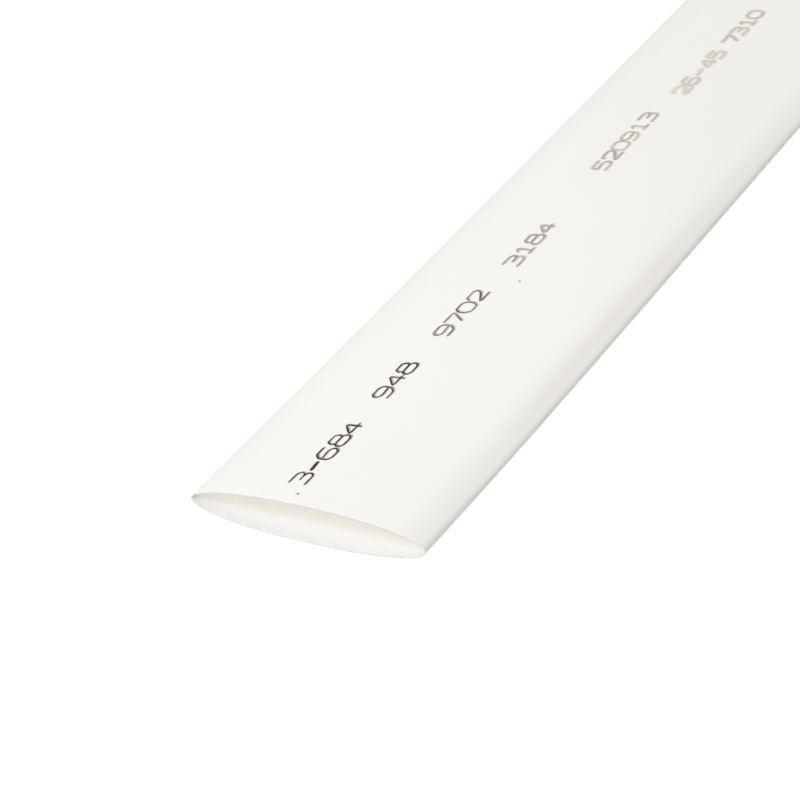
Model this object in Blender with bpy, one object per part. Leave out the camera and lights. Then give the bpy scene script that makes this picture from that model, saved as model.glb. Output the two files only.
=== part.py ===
"""Heat shrink tube, one cut length of white polyolefin sleeve, lying on its flat side.

The tube is extruded round, then wound flat, so its section is a shallow oval. The walls stand a
little apart and leave an open mouth at each end. The tube runs along Y, X is across it and Z is up.
The origin is on the floor, under the middle of the tube.

Run with: blender --background --python part.py
"""

import math

import bmesh
import bpy

# Driving sizes, in metres
LENGTH = 1.000  # a straight length as sold
BORE_DIAMETER = 0.0350  # the bore when the tube is opened round
WALL = 0.00045  # wall as supplied, before shrinking
CLEAR_HEIGHT = 0.0081  # between the two flat sides, at the middle of the mouth
FOOT_WIDTH = 0.0120  # strip of the lower side that settles flat on the floor

# How the oval is drawn
ROUND_STEPS = 120  # facets round the wall, without the foot
CROWDING = 0.35  # how far the facets draw in to the two folds, where the bend is tight: under 0.5
CORNER_ANGLE = math.radians(40)  # edges sharper than this stay sharp: the rims of the cut ends

# White polyolefin
COLOUR = (0.90, 0.89, 0.86, 1.0)
ROUGHNESS = 0.42


def clear_scene():
    for item in list(bpy.data.objects):
        bpy.data.objects.remove(item, do_unlink=True)


def solve(rising, target, low, high):
    """The value between low and high at which a rising function reaches the target."""
    for _ in range(60):
        middle = (low + high) / 2
        if rising(middle) < target:
            low = middle
        else:
            high = middle
    return (low + high) / 2


def ellipse_length(half_width, half_height, chords=720):
    """Length round an ellipse, as the sum of short chords."""
    turns = [2 * math.pi * i / chords for i in range(chords + 1)]
    points = [(half_width * math.cos(t), half_height * math.sin(t)) for t in turns]
    return sum(math.dist(a, b) for a, b in zip(points, points[1:]))


def flattened_half_width():
    """Half width of the oval bore whose outline is as long as the round bore's.

    Flattening bends the wall but doesn't stretch it, so the width follows from the height.
    """
    outline = math.pi * BORE_DIAMETER
    return solve(lambda width: ellipse_length(width, CLEAR_HEIGHT / 2), outline, 0.0, outline / 4)


def crowded(turn):
    """An angle round the ellipse, drawn in towards the folds at 0 and at half a turn."""
    return turn - CROWDING * math.sin(2 * turn)


def section_angles(half_width):
    """Angles round the ellipse, from one edge of the foot, over the top, to its other edge."""
    foot_angle = math.acos(FOOT_WIDTH / 2 / half_width)
    reach = solve(crowded, foot_angle, 0.0, math.pi / 2)
    step = (math.pi + 2 * reach) / ROUND_STEPS
    return [crowded(i * step - reach) for i in range(ROUND_STEPS + 1)]


def section(outward):
    """Outline of the wall, this far outside the bore, as (x, z) points.

    The last point joins back to the first, which closes the oval with the flat foot.
    """
    half_width, half_height = flattened_half_width(), CLEAR_HEIGHT / 2
    points = []
    for angle in section_angles(half_width):
        slope_x = math.cos(angle) / half_width
        slope_z = math.sin(angle) / half_height
        size = math.hypot(slope_x, slope_z)
        points.append((
            half_width * math.cos(angle) + outward * slope_x / size,
            half_height * math.sin(angle) + outward * slope_z / size,
        ))
    return points


def white_polyolefin():
    """The compound is coloured all through, and leaves the die with a satin skin."""
    material = bpy.data.materials.new("white_polyolefin")
    material.use_nodes = True
    shader = material.node_tree.nodes["Principled BSDF"]
    shader.inputs["Base Color"].default_value = COLOUR
    shader.inputs["Roughness"].default_value = ROUGHNESS
    shader.inputs["Metallic"].default_value = 0.0
    material.diffuse_color = COLOUR
    return material


def make_tube():
    """The wall's section as a ring of faces at the near end, extruded to the far end."""
    outside, bore = section(WALL), section(0.0)
    lift = -min(z for _, z in outside)
    near_end = -LENGTH / 2

    shape = bmesh.new()
    outer = [shape.verts.new((x, near_end, z + lift)) for x, z in outside]
    inner = [shape.verts.new((x, near_end, z + lift)) for x, z in bore]
    for i in range(len(outer)):
        j = (i + 1) % len(outer)
        shape.faces.new((outer[i], outer[j], inner[j], inner[i]))
    grown = bmesh.ops.extrude_face_region(shape, geom=shape.faces[:], use_keep_orig=True)
    far_end = [item for item in grown["geom"] if isinstance(item, bmesh.types.BMVert)]
    bmesh.ops.translate(shape, verts=far_end, vec=(0, LENGTH, 0))
    bmesh.ops.recalc_face_normals(shape, faces=shape.faces[:])

    mesh = bpy.data.meshes.new("tube")
    shape.to_mesh(mesh)
    shape.free()
    mesh.shade_smooth()
    mesh.set_sharp_from_angle(angle=CORNER_ANGLE)
    mesh.materials.append(white_polyolefin())
    tube = bpy.data.objects.new("tube", mesh)
    bpy.context.scene.collection.objects.link(tube)
    return tube


clear_scene()
make_tube()
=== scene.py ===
"""Looks of a length of heat shrink tube: its white skin, its cut mouths and its printed figures."""

import bpy
import numpy as np
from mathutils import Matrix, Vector


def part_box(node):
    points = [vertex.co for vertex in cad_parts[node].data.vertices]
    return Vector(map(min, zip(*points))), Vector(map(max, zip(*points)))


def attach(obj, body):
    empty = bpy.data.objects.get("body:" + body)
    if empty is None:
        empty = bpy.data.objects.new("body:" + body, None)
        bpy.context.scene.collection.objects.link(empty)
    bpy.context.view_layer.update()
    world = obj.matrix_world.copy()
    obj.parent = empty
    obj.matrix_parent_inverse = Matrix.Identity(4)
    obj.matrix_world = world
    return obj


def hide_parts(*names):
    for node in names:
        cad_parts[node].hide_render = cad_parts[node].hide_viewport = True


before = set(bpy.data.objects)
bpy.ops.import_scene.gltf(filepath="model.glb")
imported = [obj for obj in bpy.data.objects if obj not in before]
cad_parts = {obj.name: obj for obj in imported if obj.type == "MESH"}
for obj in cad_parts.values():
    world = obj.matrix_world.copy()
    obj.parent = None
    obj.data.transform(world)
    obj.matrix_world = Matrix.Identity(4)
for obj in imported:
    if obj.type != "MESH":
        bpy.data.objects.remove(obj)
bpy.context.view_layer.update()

# The tube
# One wall of white polyolefin, extruded round, stretched to twice its bore and wound flat on a reel.
# It keeps the shallow oval it was wound to. A blade has cut both ends square.
WALL = 0.00045
MOUTH_CLEARANCE = 0.00804  # between the two flat sides at a mouth
FOOT_WIDTH = 0.0120  # strip of the lower side that lies flat on the floor
RIM_RADIUS = 0.00007  # the blade leaves the rim's corners nearly sharp
HELD_FLAT = (0.00010, 0.00040)  # close rows behind a rim, so that its corners shade small
SETTLE = 0.082  # share by which the oval lies flatter away from its mouths
SETTLE_REACH = 0.035  # how far in from a mouth it settles
SWELL = 0.032  # share by which it also rises and falls slowly along the tube
SWELL_PACE = 23.0  # radians of that slow sine to a metre
SWELL_START = 2.675  # and its angle at the middle of the tube
WIDTH_ROUNDS = 12  # rounds in which the width that keeps the outline is found
BOW = 0.00047  # the tube wanders this far to the side and back
BOW_LENGTH = 0.62
FOLD_RAISED = 0.00024  # the left fold sits this much higher than the right
RAISED_UNDER = 0.24  # the middle of what is raised lies this angle under the fold
RAISED_SHARPNESS = 11.0  # and how quickly it dies away to both sides
ROUND_STEPS = 176
LONG_STEPS = 186
RIM_STEPS = 3
CROWDING = 0.40  # how far the grid's lines draw in to the two folds
MOUTH_CROWDING = 0.55  # and to the two mouths

tube_low, tube_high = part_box("tube")
TUBE_LENGTH = tube_high.y - tube_low.y
NEAR_END, FAR_END = tube_low.y, tube_high.y
MOUTH_HALF_HEIGHT = MOUTH_CLEARANCE / 2
MOUTH_HALF_WIDTH = (tube_high.x - tube_low.x) / 2 - WALL


def flatness(half_width, half_height):
    """How much longer an ellipse is than pi times the sum of its half axes: Ramanujan's
    1 + 3h / (10 + root(4 - 3h)), where h is the square of their difference over their sum."""
    h = ((half_width - half_height) / (half_width + half_height)) ** 2
    return 1 + 3 * h / (10 + np.sqrt(4 - 3 * h))


BORE_OUTLINE = (
    np.pi
    * (MOUTH_HALF_WIDTH + MOUTH_HALF_HEIGHT)
    * flatness(MOUTH_HALF_WIDTH, MOUTH_HALF_HEIGHT)
)


def oval(along):
    """Half width and half height of the bore at each place along the tube. The height settles from
    the mouth's as an exponential, with a slow swell on it, and the width makes up for it, so that
    the bore's outline keeps its length."""
    from_mouth = np.minimum(along - NEAR_END, FAR_END - along)
    settled = 1 - SETTLE * (1 - np.exp(-np.maximum(from_mouth, 0) / SETTLE_REACH))
    swell = SWELL * np.sin(along * SWELL_PACE + SWELL_START)
    swell = swell * np.minimum(from_mouth / SETTLE_REACH, 1)
    half_height = MOUTH_HALF_HEIGHT * (settled + swell)
    half_width = np.full_like(half_height, MOUTH_HALF_WIDTH)
    for _ in range(WIDTH_ROUNDS):
        half_width = BORE_OUTLINE / (np.pi * flatness(half_width, half_height)) - half_height
    return half_width, half_height


def wall_points(along, turn, outward):
    """Points of the wall, this far outside the bore. The bore is an ellipse, x = half width times
    cos(turn) and z = half height times sin(turn), and outward follows its normal. A narrow bell of
    the cosine raises the left fold. The lower side is level over the foot, and the whole oval is
    lifted until the foot is on the floor. A slow sine moves the tube to the side and back."""
    half_width, half_height = oval(along)
    slope_x = np.cos(turn) / half_width
    slope_z = np.sin(turn) / half_height
    size = np.hypot(slope_x, slope_z)
    x = half_width * np.cos(turn) + outward * slope_x / size
    z = half_height * np.sin(turn) + outward * slope_z / size
    z = z + FOLD_RAISED * np.exp(-RAISED_SHARPNESS * (1 + np.cos(turn - RAISED_UNDER)))
    foot_depth = half_height * np.sqrt(1 - (FOOT_WIDTH / 2 / half_width) ** 2)
    z = np.maximum(z, -foot_depth - outward) + foot_depth + WALL
    x = x + BOW * np.sin((along - NEAR_END) * 2 * np.pi / BOW_LENGTH)
    return np.stack(np.broadcast_arrays(x, along, z), axis=-1)


def wall_loop():
    """The wall's own section, cut lengthwise, as a closed loop of places along the tube and
    distances outside the bore: out along the outer skin, round the far rim, back along the inner
    skin and round the near rim. Each corner of a rim is a quarter circle."""
    steps = np.linspace(0, np.pi, LONG_STEPS + 1)
    eased = steps - MOUTH_CROWDING * np.sin(2 * steps) / 2
    skin = NEAR_END + RIM_RADIUS + (TUBE_LENGTH - 2 * RIM_RADIUS) * eased / np.pi
    held = np.cumsum(HELD_FLAT)
    skin = np.concatenate([skin[:1], skin[0] + held, skin[1:-1], skin[-1] - held[::-1], skin[-1:]])
    quarter = np.linspace(0, np.pi / 2, RIM_STEPS + 1)
    over, down = RIM_RADIUS * np.sin(quarter), RIM_RADIUS * (1 - np.cos(quarter))
    far_along = np.concatenate([FAR_END - RIM_RADIUS + over, FAR_END - RIM_RADIUS + over[::-1]])
    far_outward = np.concatenate([WALL - down, down[::-1]])
    along = np.concatenate([skin[1:-1], far_along, skin[-2:0:-1], NEAR_END + FAR_END - far_along])
    outward = np.concatenate([
        np.full(len(skin) - 2, WALL),
        far_outward,
        np.zeros(len(skin) - 2),
        far_outward[::-1],
    ])
    return along, outward


def closed_grid(name, points, attributes, material):
    """A mesh over a grid of points that closes on itself both ways, with a value of each attribute
    at every point."""
    rows, columns = points.shape[:2]
    index = np.arange(rows * columns).reshape(rows, columns)
    next_row, next_column = np.roll(index, -1, axis=0), np.roll(index, -1, axis=1)
    corner = np.roll(next_row, -1, axis=1)
    quads = np.stack([index, next_row, corner, next_column], axis=-1).reshape(-1, 4)
    mesh = bpy.data.meshes.new(name)
    mesh.from_pydata(points.reshape(-1, 3), [], quads)
    for label, values in attributes.items():
        attribute = mesh.attributes.new(label, "FLOAT", "POINT")
        attribute.data.foreach_set("value", np.broadcast_to(values, (rows, columns)).ravel())
    mesh.shade_smooth()
    mesh.materials.append(material)
    piece = bpy.data.objects.new(name, mesh)
    bpy.context.scene.collection.objects.link(piece)
    return piece


# Scale, detail and stretch of each noise in the skin: it is drawn out along the tube
DRAWN_LINES = (1400.0, 2.0, (1.0, 0.012, 1.0))
FILLER_CLOUDS = (42.0, 3.0, (1.0, 0.45, 1.0))
GRAIN = (3200.0, 1.0, (1.0, 0.6, 1.0))
GRAIN_SHARE = 0.35  # height of the grain beside that of the lines
SKIN_RELIEF = 0.25  # strength of the bump
SKIN_DEPTH = 0.00001
SATIN = (0.40, 0.52)  # roughness between and on the drawn lines


def drawn_skin_group():
    """The skin that drawing leaves on the plastic: fine lines along the tube and a soft cloudiness
    from filler that isn't spread quite evenly. Puts out a line mask, a cloud mask and a height."""
    group = bpy.data.node_groups.new("drawn_skin", "ShaderNodeTree")
    for name in ("Lines", "Clouds", "Height"):
        group.interface.new_socket(name, in_out="OUTPUT", socket_type="NodeSocketFloat")
    nodes, links = group.nodes, group.links
    place = nodes.new("ShaderNodeTexCoord")

    def noise(scale, detail, stretch):
        mapping = nodes.new("ShaderNodeMapping")
        mapping.inputs["Scale"].default_value = stretch
        links.new(place.outputs["Object"], mapping.inputs["Vector"])
        texture = nodes.new("ShaderNodeTexNoise")
        texture.inputs["Scale"].default_value = scale
        texture.inputs["Detail"].default_value = detail
        links.new(mapping.outputs["Vector"], texture.inputs["Vector"])
        return texture.outputs["Fac"]

    lines = noise(*DRAWN_LINES)
    clouds = noise(*FILLER_CLOUDS)
    grain = noise(*GRAIN)
    height = nodes.new("ShaderNodeMath")
    height.operation = "MULTIPLY_ADD"
    height.inputs[1].default_value = GRAIN_SHARE
    links.new(grain, height.inputs[0])
    links.new(lines, height.inputs[2])
    out = nodes.new("NodeGroupOutput")
    links.new(lines, out.inputs["Lines"])
    links.new(clouds, out.inputs["Clouds"])
    links.new(height.outputs["Value"], out.inputs["Height"])
    return group


def mixed_colour(nodes, links, factor, first, second):
    """The socket of a colour between two others. Each of those is a plain colour or a socket. A
    Mix node numbers its two colour inputs 6 and 7, and its colour output 2."""
    mix = nodes.new("ShaderNodeMix")
    mix.data_type = "RGBA"
    for socket, value in ((mix.inputs[6], first), (mix.inputs[7], second)):
        if isinstance(value, tuple):
            socket.default_value = (*value, 1.0)
        else:
            links.new(value, socket)
    links.new(factor, mix.inputs[0])
    return mix.outputs[2]


WHITE = (0.929, 0.921, 0.892)
WHITE_THICK = (0.946, 0.939, 0.913)  # where the filler gathers
WHITE_FOLD_SHADE = (0.863, 0.841, 0.814)  # painted shade: a band beside the right fold and lines along the left fold
WHITE_PAINTED_LIGHT = (1.0, 0.980, 0.960)  # painted light: lighter under the right fold, more so away from the near end
WHITE_INSIDE_SHADE = (0.751, 0.746, 0.735)  # painted shade: the inner skin is darker, as the bore's shade
WHITE_RIM_SHADE = (0.552, 0.545, 0.530)  # painted shade: the rims' cut faces are darker
RIM_CONTACT_SHADOW = (0.615, 0.605, 0.585)  # painted shadow: the lower rim's outer edge is darker, as where it meets the floor
WALL_GLOW = (0.0004, 0.0004, 0.0004)  # how far light spreads in the wall
LET_THROUGH = (0.890, 0.858, 0.812)  # share of a lamp's light that passes one skin of the upper wall
STOPPED = (0.0, 0.0, 0.0)  # the lower wall lies on the floor and passes none


def white_polyolefin():
    """White all through, satin outside, and thin enough to let some light into the bore: for a
    shadow ray the upper wall is see-through by a share, and to the eye it is opaque."""
    material = bpy.data.materials.new("white_polyolefin")
    material.use_nodes = True
    nodes, links = material.node_tree.nodes, material.node_tree.links
    shader = nodes["Principled BSDF"]
    skin = nodes.new("ShaderNodeGroup")
    skin.node_tree = drawn_skin_group()
    colour = mixed_colour(nodes, links, skin.outputs["Clouds"], WHITE, WHITE_THICK)
    # Each colour here is painted shade or painted light, mixed over the white by its attribute
    for label, other in (
        ("painted_fold_shade", WHITE_FOLD_SHADE),
        ("painted_fold_light", WHITE_PAINTED_LIGHT),
        ("inner_shade", WHITE_INSIDE_SHADE),
        ("cut", WHITE_RIM_SHADE),
        ("contact_shadow", RIM_CONTACT_SHADOW),
    ):
        share = nodes.new("ShaderNodeAttribute")
        share.attribute_name = label
        colour = mixed_colour(nodes, links, share.outputs["Fac"], colour, other)
    links.new(colour, shader.inputs["Base Color"])
    rough = nodes.new("ShaderNodeMapRange")
    rough.inputs["To Min"].default_value = SATIN[0]
    rough.inputs["To Max"].default_value = SATIN[1]
    links.new(skin.outputs["Lines"], rough.inputs["Value"])
    links.new(rough.outputs["Result"], shader.inputs["Roughness"])
    bump = nodes.new("ShaderNodeBump")
    bump.inputs["Strength"].default_value = SKIN_RELIEF
    bump.inputs["Distance"].default_value = SKIN_DEPTH
    links.new(skin.outputs["Height"], bump.inputs["Height"])
    links.new(bump.outputs["Normal"], shader.inputs["Normal"])
    shader.inputs["IOR"].default_value = 1.49
    shader.inputs["Specular IOR Level"].default_value = 0.4
    shader.inputs["Subsurface Weight"].default_value = 0.1
    shader.inputs["Subsurface Radius"].default_value = WALL_GLOW
    shader.inputs["Subsurface Scale"].default_value = 1.0
    upper = nodes.new("ShaderNodeAttribute")
    upper.attribute_name = "upper"
    let_through = nodes.new("ShaderNodeBsdfTransparent")
    passing = mixed_colour(nodes, links, upper.outputs["Fac"], STOPPED, LET_THROUGH)
    links.new(passing, let_through.inputs["Color"])
    ray = nodes.new("ShaderNodeLightPath")
    wall = nodes.new("ShaderNodeMixShader")
    links.new(ray.outputs["Is Shadow Ray"], wall.inputs["Fac"])
    links.new(shader.outputs["BSDF"], wall.inputs[1])
    links.new(let_through.outputs["BSDF"], wall.inputs[2])
    links.new(wall.outputs["Shader"], nodes["Material Output"].inputs["Surface"])
    material.diffuse_color = (*WHITE, 1.0)
    return material


# Where the wall's other colours lie, most of them painted shade and painted light. A pair says where
# one begins and where it is full: across, in shares of the oval's half width, and up or down, in
# shares of its half height.
SHADE_BAND_ACROSS = 0.91  # middle of the painted shade band
SHADE_BAND_WIDTHS = (0.11, 0.055)  # towards the middle of the tube and towards the fold
SHADE_BAND_STRENGTH = 0.60  # how strong the band is on average
SHADE_BAND_CHANGE = 0.35  # and how much that changes along the tube
SHADE_BAND_PERIOD = 0.28  # metres from one strong place to the next
SHADE_BAND_FIRST = 0.10  # metres from the near end to the first
SOFT_LINE = 0.28  # painted shade: a soft darker line along the left fold
SOFT_LINE_ACROSS = (0.70, 0.90)
FINE_LINE = 0.75  # and a fine one at its very edge
FINE_LINE_ACROSS = (0.92, 0.98)
LINES_UP = (0.0, 0.125)
LINES_FROM_MOUTH = (-0.012, 0.018)  # metres: they are weaker at a cut end
LIT_ACROSS = (0.90, 0.95)  # painted light, under the right fold
LIT_DOWN = (-0.20, 0.05)
LIT_ALONG = (-0.0875, 0.1625)  # metres from the near end
GREYED_OUT = (0.45, 0.70)  # shares of the wall's thickness, outwards
GREYED_DOWN = (-0.20, 0.1333)
GREYED_BEHIND = 0.0002  # it is half as grey this far behind the rim
PASSES_UP = (-0.225, 0.025)  # the upper wall lets light into the bore


def ramp(value, start, end):
    """0 up to the start, 1 from the end on, and a straight rise between them."""
    return np.clip((value - start) / (end - start), 0, 1)


def colour_shares(along, turn, outward):
    """The share of each other colour on the wall, and what lets light through, with a row for each
    place along it and a column for each turn round it. The band beside the right fold is a bell of
    the cosine of the turn, times a slow cosine along the tube. The others are ramps over the sine
    and cosine of the turn, the distance from an end and the depth in the wall, multiplied."""
    across, up = np.cos(turn), np.sin(turn)
    from_near_end = along[:, None] - NEAR_END
    from_mouth = np.minimum(from_near_end, FAR_END - along[:, None])
    # painted shade: a band beside the right fold that grows and fades along the tube, and lines along
    # the left fold
    off_band = across - SHADE_BAND_ACROSS
    band = np.exp(-((off_band / np.where(off_band < 0, *SHADE_BAND_WIDTHS)) ** 2)) * (up > 0)
    waves = (from_near_end - SHADE_BAND_FIRST) / SHADE_BAND_PERIOD
    band = band * (SHADE_BAND_STRENGTH + SHADE_BAND_CHANGE * np.cos(2 * np.pi * waves))
    left_lines = SOFT_LINE * ramp(-across, *SOFT_LINE_ACROSS)
    left_lines = left_lines + FINE_LINE * ramp(-across, *FINE_LINE_ACROSS) ** 2
    left_lines = left_lines * ramp(up, *LINES_UP) * ramp(from_mouth, *LINES_FROM_MOUTH)
    cut = 1 - ramp(from_mouth, 0, RIM_RADIUS)  # 1 on the face of a rim, which is painted darker as shade
    # painted shadow along the lower rim's outer edge, where the tube meets the floor
    contact_shadow = np.clip(2 * cut + 0.5 * (from_mouth < GREYED_BEHIND), 0, 1)
    contact_shadow = contact_shadow * ramp(outward[:, None] / WALL, *GREYED_OUT) * ramp(-up, *GREYED_DOWN)
    # painted light: lighter under the right fold, more so away from the near end
    lit = ramp(across, *LIT_ACROSS) * ramp(-up, *LIT_DOWN) * ramp(from_near_end, *LIT_ALONG)
    return {
        "painted_fold_shade": np.maximum(band, left_lines),
        "painted_fold_light": lit,
        "inner_shade": 1 - outward[:, None] / WALL,  # 0 on the outer skin and 1 on the inner, which is painted darker as shade
        "cut": cut,
        "contact_shadow": contact_shadow,
        "upper": ramp(up, *PASSES_UP),
    }


along, outward = wall_loop()
steps = np.linspace(0, 2 * np.pi, ROUND_STEPS, endpoint=False)
turn = steps - CROWDING * np.sin(2 * steps)
tube_points = wall_points(along[:, None], turn[None, :], outward[:, None])
skins = colour_shares(along, turn, outward)
tube = closed_grid("shrink_tube", tube_points, skins, white_polyolefin())
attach(tube, "root")
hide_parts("tube")

# The marking
# A row of plain figures, printed along the top as the tube ran past an ink-jet head. The ink is dark
# brown. It leaves a tan shadow beside each stroke and grows faint and smudged towards a row's end.
ROW_PITCH = 0.314  # the head prints the same row over and over
ROW = (  # from the row's start, off the middle, figures, strength of the ink, how much it is smudged
    (0.0079, -0.0063, "3-684", 1.15, 0.0),
    (0.0504, -0.0070, "948", 1.10, 0.1),
    (0.0826, -0.0067, "9702", 0.87, 0.25),
    (0.1210, -0.0059, "3184", 0.64, 0.6),
    (0.1775, -0.0065, "520913", 0.52, 0.8),
    (0.2275, -0.0045, "26-45", 0.30, 1.2),
    (0.2632, -0.0042, "7310", 0.38, 1.2),
)
FIGURE_WIDTH = 0.0055  # they are broad, as the tube runs past faster than the head prints
FIGURE_HEIGHT = 0.0035
FIGURE_PITCH = 0.0062
STROKE = 0.00048
DASH_STROKE = 0.00085
TAPER = 0.6  # width of a stroke at its two tips, as a share
SPREAD = (0.85, 0.40)  # share of its width for a stroke along the tube, and what one across gains
UNEVEN = 0.2  # how much a stroke's width and strength change along it
SMUDGED_WIDER = 0.3
LEAST_DARK = 0.9  # the palest stroke, as a share of its group's strength
SMUDGED_PALER = 0.2
LEAN = 0.09  # the row was printed on a tube that ran a little askew
JITTER = 0.00008  # and its figures don't stand quite evenly
BARE_END = 0.004  # figures that would come closer than this to the far end are cut off
INK_THICKNESS = 0.000015
INK_SUNK = 0.00003
CROSSING_LIFT = 0.1  # a figure's second stroke lies this share of the ink higher than its first
SHADOW_AWAY = (0.00042, 0.00016)  # the tan shadow lies this far on along and across
SHADOW_STROKE = 0.00052
SHADOW_SMUDGED_WIDER = 0.7
SHADOW_DARK = (0.20, 0.55)  # least and most, as shares of the group's strength
SHADOW_LIFT = 0.3  # share of the ink's thickness
HALO_FROM = 0.5  # figures that are smudged more than this have a faint halo
HALO_STROKE = 0.00140
HALO_DARK = 0.10  # shares, as for the shadow
HALO_LIFT = 0.15
SPECKS = ((0.0042, -0.0040, 0.00062), (0.1145, -0.0006, 0.00055))  # along, across, size
SPECK_DARK = 0.75
CORNER_CUTS = (0.09, 0.22)  # how far from each corner it is cut, the first and the second time
POINT_SPACING = 0.09  # of the points along a stroke, on the same square as the figures
FIGURES = {  # strokes of each figure, on a square one high and one wide
    "0": (((0.2, 0), (0.8, 0), (1, 0.3), (1, 0.7), (0.8, 1), (0.2, 1), (0, 0.7), (0, 0.3), (0.2, 0)),),
    "1": (((0.2, 0.72), (0.55, 1), (0.55, 0)), ((0.2, 0), (0.9, 0))),
    "2": (((0, 0.72), (0.15, 1), (0.85, 1), (1, 0.78), (0.9, 0.52), (0, 0), (1, 0)),),
    "3": (
        ((0.02, 1), (0.8, 1), (1, 0.8), (0.95, 0.6), (0.7, 0.53), (0.35, 0.53)),
        ((0.7, 0.53), (1, 0.42), (1, 0.15), (0.8, 0), (0, 0)),
    ),
    "4": (((0.75, 0), (0.75, 1), (0, 0.3), (1, 0.3)),),
    "5": (
        ((0.97, 1), (0.08, 1), (0.02, 0.55), (0.75, 0.6)),
        ((0.75, 0.6), (1, 0.42), (0.97, 0.12), (0.75, 0), (0, 0)),
    ),
    "6": (
        ((0.95, 1), (0.3, 1), (0, 0.7), (0, 0.2), (0.2, 0), (0.8, 0), (1, 0.2), (0.95, 0.48)),
        ((0.95, 0.48), (0.7, 0.57), (0.03, 0.5)),
    ),
    "7": (((0, 1), (1, 1), (0.95, 0.8), (0.4, 0)),),
    "8": (
        ((0.2, 0.53), (0.05, 0.7), (0.2, 1), (0.8, 1), (0.95, 0.7), (0.8, 0.53), (0.2, 0.53)),
        ((0.2, 0.53), (0, 0.4), (0, 0.12), (0.2, 0), (0.8, 0), (1, 0.12), (1, 0.4), (0.8, 0.53)),
    ),
    "9": (
        ((0.05, 0), (0.7, 0), (1, 0.3), (1, 0.8), (0.8, 1), (0.2, 1), (0, 0.8), (0.05, 0.52)),
        ((0.05, 0.52), (0.3, 0.43), (0.97, 0.5)),
    ),
    "-": (((0.08, 0.42), (0.92, 0.52)),),
}


def softened(corners):
    """A line through these corners with each of them cut twice, and points close along it."""
    line = np.array(corners, dtype=float)
    for share in CORNER_CUTS:
        trimmed = np.empty((2 * len(line) - 2, 2))
        trimmed[0::2] = line[:-1] + share * (line[1:] - line[:-1])
        trimmed[1::2] = line[1:] + share * (line[:-1] - line[1:])
        line = np.vstack([line[:1], trimmed[1:-1], line[-1:]])
    reach = np.concatenate([[0], np.cumsum(np.hypot(*np.diff(line, axis=0).T))])
    places = np.linspace(0, reach[-1], max(4, int(reach[-1] / POINT_SPACING)))
    return np.stack([np.interp(places, reach, side) for side in line.T], axis=1)


def ink_line(line, half_width, lift, strength):
    """A closed bar of ink along a line of (along, across) places on the tube's top, with the half
    width given at each point. Gives its points, in rings of four, its faces, and the ink's strength at
    each point."""
    heading = np.gradient(line, axis=0)
    heading /= np.maximum(np.hypot(*heading.T), 1e-9)[:, None]
    side = np.stack([-heading[:, 1], heading[:, 0]], axis=1) * half_width[:, None]
    ring = []
    for edge, outward in ((-1, -INK_SUNK), (-1, lift), (1, lift), (1, -INK_SUNK)):
        place = line + edge * side
        turn = np.arccos(np.clip(place[:, 1] / oval(place[:, 0])[0], -1, 1))
        ring.append(wall_points(place[:, 0], turn, WALL + outward))
    points = np.stack(ring, axis=1).reshape(-1, 3)
    start = 4 * np.arange(len(line) - 1)[:, None]
    corner = np.arange(4)
    after = (corner + 1) % 4
    sides = np.stack([start + corner, start + after, start + 4 + after, start + 4 + corner], axis=-1)
    ends = [[3, 2, 1, 0], list(len(points) - 4 + corner)]
    return points, np.vstack([sides.reshape(-1, 4), ends]), np.repeat(strength, 4)


def wander(rng, count):
    """Slow random change along a line, about 0: at each point, the mean of five random numbers, of
    which the next point shares four."""
    return np.convolve(rng.normal(0, 1, count + 4), np.ones(5) / 5, "valid")


def stroke_lines(rng, line, width, lift, strength, smudge):
    """The bars of ink of one stroke: the stroke, broader where it runs across the tube, its tan
    shadow and, where it is smudged, its halo."""
    size = len(line)
    taper = np.ones(size)
    taper[[0, -1]] = TAPER
    heading = np.gradient(line, axis=0)
    spread = SPREAD[0] + SPREAD[1] * np.abs(heading[:, 1]) / np.hypot(*heading.T)
    broad = width / 2 * taper * spread * (1 + UNEVEN * wander(rng, size))
    dark = strength * rng.uniform(LEAST_DARK - SMUDGED_PALER * smudge, 1.0)
    yield ink_line(line, broad, lift, np.clip(dark * (1 + UNEVEN * wander(rng, size)), 0, 1))
    broad = SHADOW_STROKE / 2 * (1 + SHADOW_SMUDGED_WIDER * smudge) * taper
    dark = strength * rng.uniform(*SHADOW_DARK)
    yield ink_line(line + SHADOW_AWAY, broad, SHADOW_LIFT * lift, np.full(size, dark))
    if smudge > HALO_FROM:
        broad = HALO_STROKE / 2 * smudge * taper
        yield ink_line(line, broad, HALO_LIFT * lift, np.full(size, HALO_DARK * strength))


def row_lines(rng):
    """Every bar of ink on the tube: the figures, row after row, and then the specks."""
    for repeat in range(int(np.ceil(TUBE_LENGTH / ROW_PITCH))):
        for start, across, figures, strength, smudge in ROW:
            for count, figure in enumerate(figures):
                begin = NEAR_END + repeat * ROW_PITCH + start + count * FIGURE_PITCH
                jitter = rng.normal(0, JITTER, 2)
                if begin + FIGURE_WIDTH > FAR_END - BARE_END:
                    continue
                width = DASH_STROKE if figure == "-" else STROKE * (1 + SMUDGED_WIDER * smudge)
                for order, corners in enumerate(FIGURES[figure]):
                    shape = softened(corners)
                    along = begin + jitter[0] + shape[:, 0] * FIGURE_WIDTH
                    off = across + jitter[1] - (shape[:, 1] - 0.5) * FIGURE_HEIGHT
                    line = np.stack([along + LEAN * (off - across), off], axis=1)
                    lift = INK_THICKNESS * (1 + CROSSING_LIFT * order)
                    yield from stroke_lines(rng, line, width, lift, strength, smudge)
    for along, across, size in SPECKS:
        middle = NEAR_END + along
        line = np.array([[middle - size / 2, across], [middle + size / 2, across]])
        yield ink_line(line, np.full(2, size / 2), INK_THICKNESS, np.full(2, SPECK_DARK))


INK = (0.035, 0.025, 0.017)
INK_SPENT = (0.875, 0.815, 0.76)  # a stain that shades the white


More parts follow.
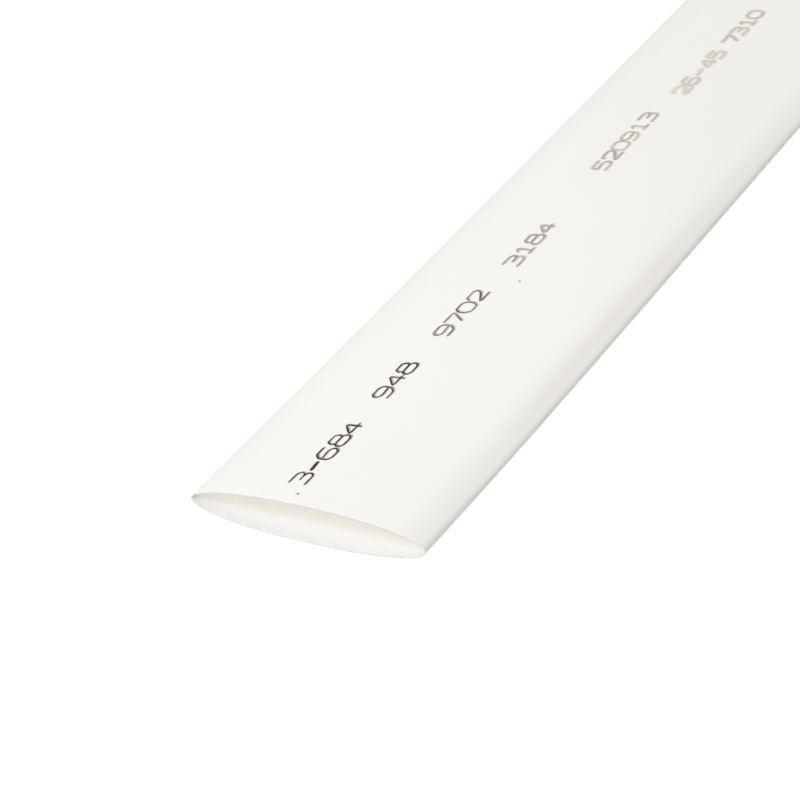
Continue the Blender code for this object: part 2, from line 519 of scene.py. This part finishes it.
def printed_ink():
    """Matt ink. The attribute "ink" says how strong it came out."""
    material = bpy.data.materials.new("printed_ink")
    material.use_nodes = True
    nodes, links = material.node_tree.nodes, material.node_tree.links
    shader = nodes["Principled BSDF"]
    ink = nodes.new("ShaderNodeAttribute")
    ink.attribute_name = "ink"
    colour = mixed_colour(nodes, links, ink.outputs["Fac"], INK_SPENT, INK)
    links.new(colour, shader.inputs["Base Color"])
    shader.inputs["Roughness"].default_value = 0.5
    shader.inputs["Specular IOR Level"].default_value = 0.3
    material.diffuse_color = (*INK, 1.0)
    return material


points, faces, strengths = [], [], []
count = 0
for line_points, line_faces, line_strength in row_lines(np.random.default_rng(7)):
    points.append(line_points)
    faces.append(line_faces + count)
    strengths.append(line_strength)
    count += len(line_points)
mesh = bpy.data.meshes.new("marking")
mesh.from_pydata(np.vstack(points), [], np.vstack(faces))
mesh.attributes.new("ink", "FLOAT", "POINT").data.foreach_set("value", np.concatenate(strengths))
mesh.materials.append(printed_ink())
marking = bpy.data.objects.new("marking", mesh)
bpy.context.scene.collection.objects.link(marking)
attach(marking, "root")

# The floor
# A plain white table, wide enough that its edge is never seen.
FLOOR_SIZE = 40.0
FLOOR_WHITE = (0.92, 0.92, 0.92)
BURNT_OUT = 0.86  # share of the table that the lens sees as plain light
BURNT_OUT_LIGHT = 1.12  # a little over full white


def white_table():
    """Even white. The lens sees it overexposed, most of it as plain light."""
    material = bpy.data.materials.new("white_table")
    material.use_nodes = True
    nodes, links = material.node_tree.nodes, material.node_tree.links
    shader = nodes["Principled BSDF"]
    shader.inputs["Base Color"].default_value = (*FLOOR_WHITE, 1.0)
    shader.inputs["Roughness"].default_value = 0.9
    shader.inputs["Specular IOR Level"].default_value = 0.1
    burnt_out = nodes.new("ShaderNodeEmission")
    burnt_out.inputs["Strength"].default_value = BURNT_OUT_LIGHT
    ray = nodes.new("ShaderNodeLightPath")
    share = nodes.new("ShaderNodeMath")
    share.operation = "MULTIPLY"
    share.inputs[1].default_value = BURNT_OUT
    links.new(ray.outputs["Is Camera Ray"], share.inputs[0])
    mix = nodes.new("ShaderNodeMixShader")
    links.new(share.outputs["Value"], mix.inputs["Fac"])
    links.new(shader.outputs["BSDF"], mix.inputs[1])
    links.new(burnt_out.outputs["Emission"], mix.inputs[2])
    links.new(mix.outputs["Shader"], nodes["Material Output"].inputs["Surface"])
    return material


bpy.ops.mesh.primitive_plane_add(size=FLOOR_SIZE)
floor = bpy.context.object
floor.name = "white_table"
floor.data.materials.append(white_table())

# The light
# A wide softbox on a stand, in front of the tube and a little to its left, in a white tent. The tent's
# far wall is the brightest.
LAMP_AIM = Vector((0.0, NEAR_END + 0.10, 0.0))
LAMP_PLACE = LAMP_AIM + Vector((-0.56, -3.72, 3.46))
LAMP_SIZE = (2.9, 1.15)
LAMP_POWER = 295.0
LAMP_COLOUR = (0.990, 1.0, 1.012)
TENT_STRENGTH = 0.222
TENT_COLOUR = (1.0, 0.965, 0.90)
FAR_WALL_STRENGTH = 0.50
FAR_WALL_TOWARDS = (-0.36, 0.81, 0.47)
FAR_WALL_FALL = 6.0  # how fast it grows darker away from there

lamp_light = bpy.data.lights.new("softbox", "AREA")
lamp_light.shape = "RECTANGLE"
lamp_light.size, lamp_light.size_y = LAMP_SIZE
lamp_light.energy = LAMP_POWER
lamp_light.color = LAMP_COLOUR
lamp = bpy.data.objects.new("softbox", lamp_light)
lamp.location = LAMP_PLACE
lamp.rotation_euler = (LAMP_AIM - LAMP_PLACE).to_track_quat("-Z", "Y").to_euler()
bpy.context.scene.collection.objects.link(lamp)

tent = bpy.data.worlds.new("tent")
tent.use_nodes = True
nodes, links = tent.node_tree.nodes, tent.node_tree.links
nodes["Background"].inputs["Color"].default_value = (*TENT_COLOUR, 1.0)
direction = nodes.new("ShaderNodeTexCoord")
facing = nodes.new("ShaderNodeVectorMath")
facing.operation = "DOT_PRODUCT"
facing.inputs[1].default_value = Vector(FAR_WALL_TOWARDS).normalized()
links.new(direction.outputs["Generated"], facing.inputs[0])
# The tent's own strength, and the far wall's times a power of the cosine of the angle to it
brightness = facing.outputs["Value"]
for operation, constants in (
    ("MAXIMUM", (0.0,)),
    ("POWER", (FAR_WALL_FALL,)),
    ("MULTIPLY_ADD", (FAR_WALL_STRENGTH, TENT_STRENGTH)),
):
    step = nodes.new("ShaderNodeMath")
    step.operation = operation
    for place, constant in enumerate(constants, start=1):
        step.inputs[place].default_value = constant
    links.new(brightness, step.inputs[0])
    brightness = step.outputs["Value"]
links.new(brightness, nodes["Background"].inputs["Strength"])
bpy.context.scene.world = tent

# The camera
# A long lens, level from side to side, that looks down on the near mouth from its right.
LENS = 181.6
SENSOR = 36.0
NEAREST_SEEN = 0.05
PITCH = np.radians(28.54)
TURNED = np.radians(24.29)
CAMERA_PLACE = Vector((0.3158, NEAR_END - 0.6526, 0.4281))

camera_data = bpy.data.cameras.new("camera")
camera_data.sensor_width = SENSOR
camera_data.lens = LENS
camera_data.clip_start = NEAREST_SEEN
camera = bpy.data.objects.new("camera", camera_data)
camera.location = CAMERA_PLACE
camera.rotation_euler = (np.pi / 2 - PITCH, 0.0, TURNED)
bpy.context.scene.collection.objects.link(camera)
bpy.context.scene.camera = camera
bpy.context.scene.view_settings.view_transform = "Standard"
